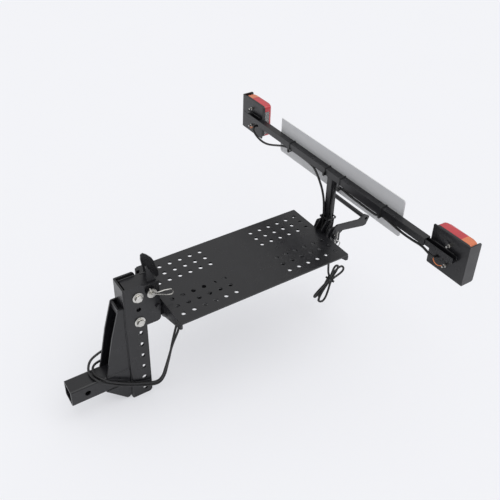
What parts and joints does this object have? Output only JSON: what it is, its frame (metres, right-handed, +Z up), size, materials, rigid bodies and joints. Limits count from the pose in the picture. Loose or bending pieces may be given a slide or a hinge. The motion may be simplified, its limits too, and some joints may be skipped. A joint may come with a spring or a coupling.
{
  "type": "motorcycle carrier",
  "caption": "Hitch mounted motorcycle carrier with a holed platform that folds on an adjustable upright post, a folding light mast with tail lamps on sliding holders and a rear handle",
  "frame": {"origin": "centre of the hitch pin hole, on the hitch tube's axis", "axes": "+X points from the hitch to the rear, +Y along the hitch pin to the side without the handle's arm, +Z up"},
  "size_m": [0.9413, 0.94, 0.54],
  "materials": {
    "black_steel": "satin black powder coat",
    "zinc_steel": "zinc plated",
    "grey_panel": "matt grey",
    "black_plastic": "matt",
    "red_lens": "glossy",
    "amber_lens": "glossy",
    "clear_lens": "clear",
    "bulb_glass": "clear",
    "cable_black": "matt",
    "wire_grey": "matt"
  },
  "bodies": {
    "base": {"hitch_tube": "black_steel", "post_channel": "black_steel", "brace_plate_right": "black_steel", "brace_plate_left": "black_steel", "brace_cap": "black_steel", "lower_gusset_right": "black_steel", "lower_gusset_left": "black_steel", "head_bracket": "black_steel", "stop_fin": "black_steel", "stop_rib": "black_steel", "clamp_screw": "black_steel", "height_bolts": "zinc_steel", "height_washers": "zinc_steel", "height_nuts": "zinc_steel", "bolt_spacers": "zinc_steel", "front_cable": "cable_black"},
    "platform": {"deck_plate": "black_steel", "center_beam": "black_steel", "hinge_arm_right": "black_steel", "hinge_arm_left": "black_steel", "hinge_hub": "zinc_steel", "hinge_pin": "zinc_steel", "hinge_washer": "zinc_steel", "rear_bracket": "black_steel", "mast_pin": "black_steel", "under_deck_cable": "cable_black", "cable_clips": "black_plastic", "plug_lead": "cable_black", "plug": "black_plastic", "rear_hank": "cable_black", "hank_tie": "black_plastic", "wire_ends": "wire_grey"},
    "hinge_clip": {"hinge_pin_clip": "zinc_steel"},
    "clip_right": {"mast_pin_clip_right": "zinc_steel"},
    "clip_left": {"mast_pin_clip_left": "zinc_steel"},
    "light_mast": {"mast_tube": "black_steel", "foot_cheeks": "black_steel", "mast_bush": "zinc_steel", "light_bar": "black_steel", "number_plate_panel": "grey_panel", "cable_ties": "black_plastic", "lamp_cable_left": "cable_black", "lamp_cable_right": "cable_black"},
    "lamp_left": {"lamp_holder_left": "black_steel", "lamp_bracket_left": "black_steel", "lamp_base_left": "black_plastic", "red_lens_left": "red_lens", "amber_lens_left": "amber_lens", "clear_window_left": "clear_lens", "lamp_bulbs_left": "bulb_glass", "lamp_studs_left": "zinc_steel"},
    "lamp_right": {"lamp_holder_right": "black_steel", "lamp_bracket_right": "black_steel", "lamp_base_right": "black_plastic", "red_lens_right": "red_lens", "amber_lens_right": "amber_lens", "clear_window_right": "clear_lens", "lamp_bulbs_right": "bulb_glass", "lamp_studs_right": "zinc_steel"},
    "rear_handle": {"handle_arm": "black_steel", "handle_rod": "black_steel"}
  },
  "joints": [
    {"name": "platform_fold", "type": "hinge", "parent": "base", "child": "platform", "pos_m": [0.192, 0, 0.2565], "axis": [0, -1, 0], "range_deg": [0, 90]},
    {"name": "hinge_clip_pull", "type": "slide", "parent": "platform", "child": "hinge_clip", "axis": [0.8829, 0, -0.4695], "range_m": [0, 0.018]},
    {"name": "clip_right_pull", "type": "slide", "parent": "platform", "child": "clip_right", "axis": [0.1736, 0, -0.9848], "range_m": [0, 0.018]},
    {"name": "clip_left_pull", "type": "slide", "parent": "platform", "child": "clip_left", "axis": [0.1736, 0, -0.9848], "range_m": [0, 0.018]},
    {"name": "mast_fold", "type": "hinge", "parent": "platform", "child": "light_mast", "pos_m": [0.766, 0, 0.209], "axis": [0, 1, 0], "range_deg": [0, 60]},
    {"name": "handle_swing", "type": "hinge", "parent": "platform", "child": "rear_handle", "pos_m": [0.766, 0, 0.209], "axis": [0, 1, 0], "range_deg": [0, 50]},
    {"name": "lamp_left_slide", "type": "slide", "parent": "light_mast", "child": "lamp_left", "axis": [0, 1, 0], "range_m": [0, 0.08]},
    {"name": "lamp_right_slide", "type": "slide", "parent": "light_mast", "child": "lamp_right", "axis": [0, -1, 0], "range_m": [0, 0.08]}
  ]
}
